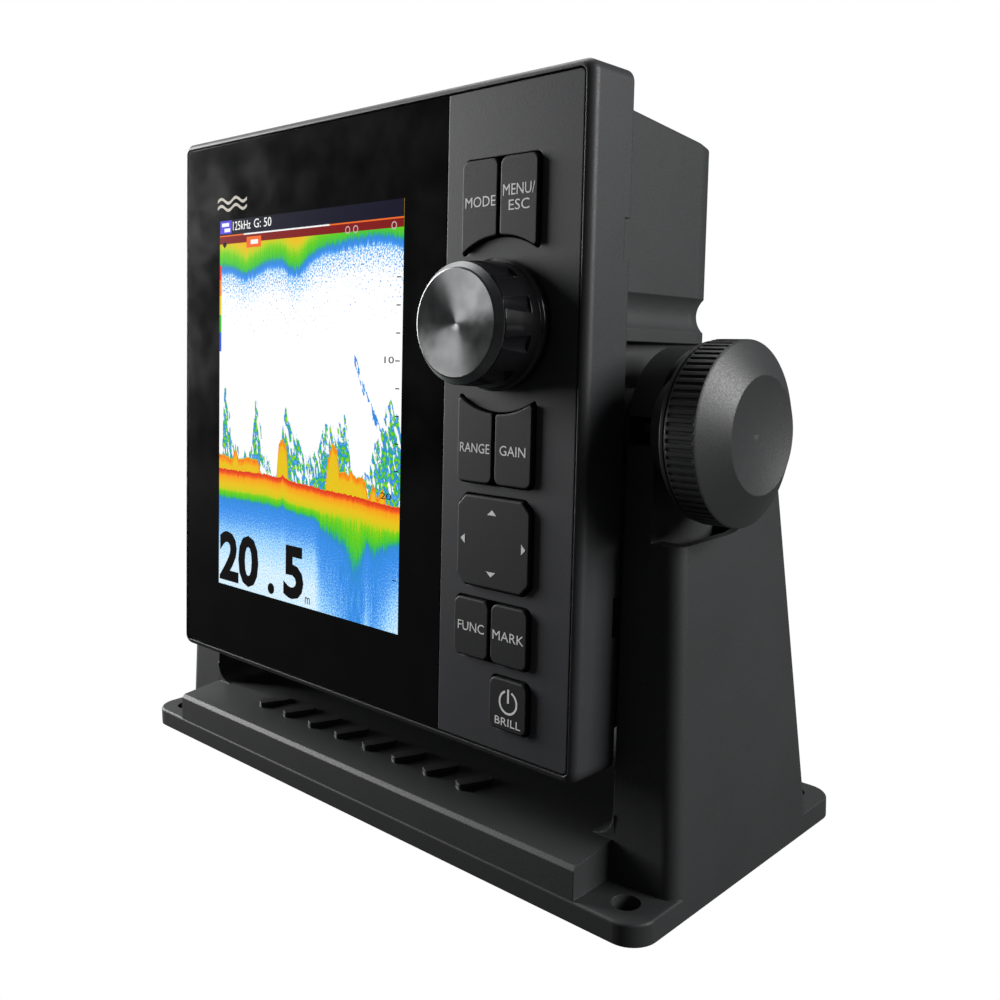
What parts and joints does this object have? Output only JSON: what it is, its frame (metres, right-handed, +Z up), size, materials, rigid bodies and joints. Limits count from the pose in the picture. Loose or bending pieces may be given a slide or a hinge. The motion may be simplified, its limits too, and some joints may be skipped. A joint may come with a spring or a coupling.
{
  "type": "fish finder",
  "caption": "Echo sounder display with a colour screen, keypad and control knob, held between the two arms of a table bracket by a clamp knob and a pivot screw.",
  "frame": {"origin": "centre of the bracket's underside", "axes": "+X to the right as seen by the user, +Y to the back, +Z up; the display faces -Y"},
  "size_m": [0.2187, 0.1039, 0.1966],
  "materials": {
    "bracket_plastic": "fine textured",
    "clamp_plastic": "satin",
    "steel": "zinc plated",
    "bezel_plastic": "satin textured",
    "panel_plastic": "satin",
    "lens": "glossy, tinted border",
    "screen": "lit liquid crystal display",
    "sheet_steel": "stamped",
    "diffuser": "opal",
    "chassis_aluminium": "plain",
    "circuit_board": "solder mask",
    "black_component": "moulded",
    "capacitor_can": "sleeved",
    "ribbon": "flat cable",
    "seal_rubber": "matt",
    "case_plastic": "fine textured",
    "insert_brass": "machined",
    "connector_metal": "plated",
    "vent_plastic": "moulded",
    "shaft_steel": "ground",
    "dial_plastic": "glossy",
    "cap_aluminium": "spun, dark anodised",
    "key_rubber": "matt, soft touch"
  },
  "bodies": {
    "bracket": {"bracket": "bracket_plastic", "right_arm_washer": "steel", "left_arm_washer": "steel"},
    "display": {"front_bezel": "bezel_plastic", "lens_window": "lens", "keypad_panel": "panel_plastic", "lcd_panel": "screen", "lcd_frame": "sheet_steel", "backlight": "diffuser", "chassis_plate": "chassis_aluminium", "main_board": "circuit_board", "board_screws": "steel", "processor": "black_component", "heat_spreader": "chassis_aluminium", "capacitors": "capacitor_can", "transformer": "black_component", "buzzer": "black_component", "keypad_board": "circuit_board", "ribbon_cable": "ribbon", "key_switches": "black_component", "encoder_body": "black_component", "case_gasket": "seal_rubber", "rear_case": "case_plastic", "case_screws": "steel", "right_thread_insert": "insert_brass", "left_thread_insert": "insert_brass", "right_friction_washer": "seal_rubber", "left_friction_washer": "seal_rubber", "power_connector": "connector_metal", "transducer_connector": "connector_metal", "data_connector": "connector_metal", "ground_terminal": "steel", "vent_plug": "vent_plastic", "left_pivot_screw": "steel"},
    "right_clamp": {"right_clamp_knob": "clamp_plastic", "right_clamp_bolt": "steel"},
    "dial_plunger": {"encoder_plunger": "black_component"},
    "dial": {"encoder_shaft": "shaft_steel", "control_knob": "dial_plastic", "knob_cap": "cap_aluminium"},
    "cursor_gimbal": {"cursor_gimbal": "black_component"},
    "cursor_pad": {"cursor_pad": "key_rubber"},
    "mode_key": {"mode_key": "key_rubber"},
    "menu_key": {"menu_key": "key_rubber"},
    "range_key": {"range_key": "key_rubber"},
    "gain_key": {"gain_key": "key_rubber"},
    "func_key": {"func_key": "key_rubber"},
    "mark_key": {"mark_key": "key_rubber"},
    "power_key": {"power_key": "key_rubber"}
  },
  "joints": [
    {"name": "display_tilt", "type": "hinge", "parent": "bracket", "child": "display", "pos_m": [0, -0.0169, 0.113], "axis": [1, 0, 0], "range_deg": [-25, 15]},
    {"name": "right_clamp_turn", "type": "hinge", "parent": "display", "child": "right_clamp", "pos_m": [0.102, -0.0169, 0.113], "axis": [1, 0, 0], "continuous": true},
    {"name": "dial_push", "type": "slide", "parent": "display", "child": "dial_plunger", "axis": [0, 0.9987, -0.0506], "range_m": [0, 0.0005], "stiffness_N_per_m": 4000, "springref_m": -0.0005},
    {"name": "dial_turn", "type": "hinge", "parent": "dial_plunger", "child": "dial", "pos_m": [0.0583, -0.04037, 0.13782], "axis": [0, 0.9987, -0.0506], "continuous": true},
    {"name": "cursor_up_down", "type": "hinge", "parent": "display", "child": "cursor_gimbal", "pos_m": [0.0579, -0.03815, 0.08484], "axis": [1, 0, 0], "range_deg": [-2.5, 2.5], "stiffness_Nm_per_rad": 0.3},
    {"name": "cursor_left_right", "type": "hinge", "parent": "cursor_gimbal", "child": "cursor_pad", "pos_m": [0.0579, -0.03815, 0.08484], "axis": [0, 0.0506, 0.9987], "range_deg": [-2.5, 2.5], "stiffness_Nm_per_rad": 0.3},
    {"name": "mode_key_press", "type": "slide", "parent": "display", "child": "mode_key", "axis": [0, 0.9987, -0.0506], "range_m": [0, 0.0008], "stiffness_N_per_m": 1500, "springref_m": -0.0003},
    {"name": "menu_key_press", "type": "slide", "parent": "display", "child": "menu_key", "axis": [0, 0.9987, -0.0506], "range_m": [0, 0.0008], "stiffness_N_per_m": 1500, "springref_m": -0.0003},
    {"name": "range_key_press", "type": "slide", "parent": "display", "child": "range_key", "axis": [0, 0.9987, -0.0506], "range_m": [0, 0.0008], "stiffness_N_per_m": 1500, "springref_m": -0.0003},
    {"name": "gain_key_press", "type": "slide", "parent": "display", "child": "gain_key", "axis": [0, 0.9987, -0.0506], "range_m": [0, 0.0008], "stiffness_N_per_m": 1500, "springref_m": -0.0003},
    {"name": "func_key_press", "type": "slide", "parent": "display", "child": "func_key", "axis": [0, 0.9987, -0.0506], "range_m": [0, 0.0008], "stiffness_N_per_m": 1500, "springref_m": -0.0003},
    {"name": "mark_key_press", "type": "slide", "parent": "display", "child": "mark_key", "axis": [0, 0.9987, -0.0506], "range_m": [0, 0.0008], "stiffness_N_per_m": 1500, "springref_m": -0.0003},
    {"name": "power_key_press", "type": "slide", "parent": "display", "child": "power_key", "axis": [0, 0.9987, -0.0506], "range_m": [0, 0.0008], "stiffness_N_per_m": 1500, "springref_m": -0.0003}
  ]
}
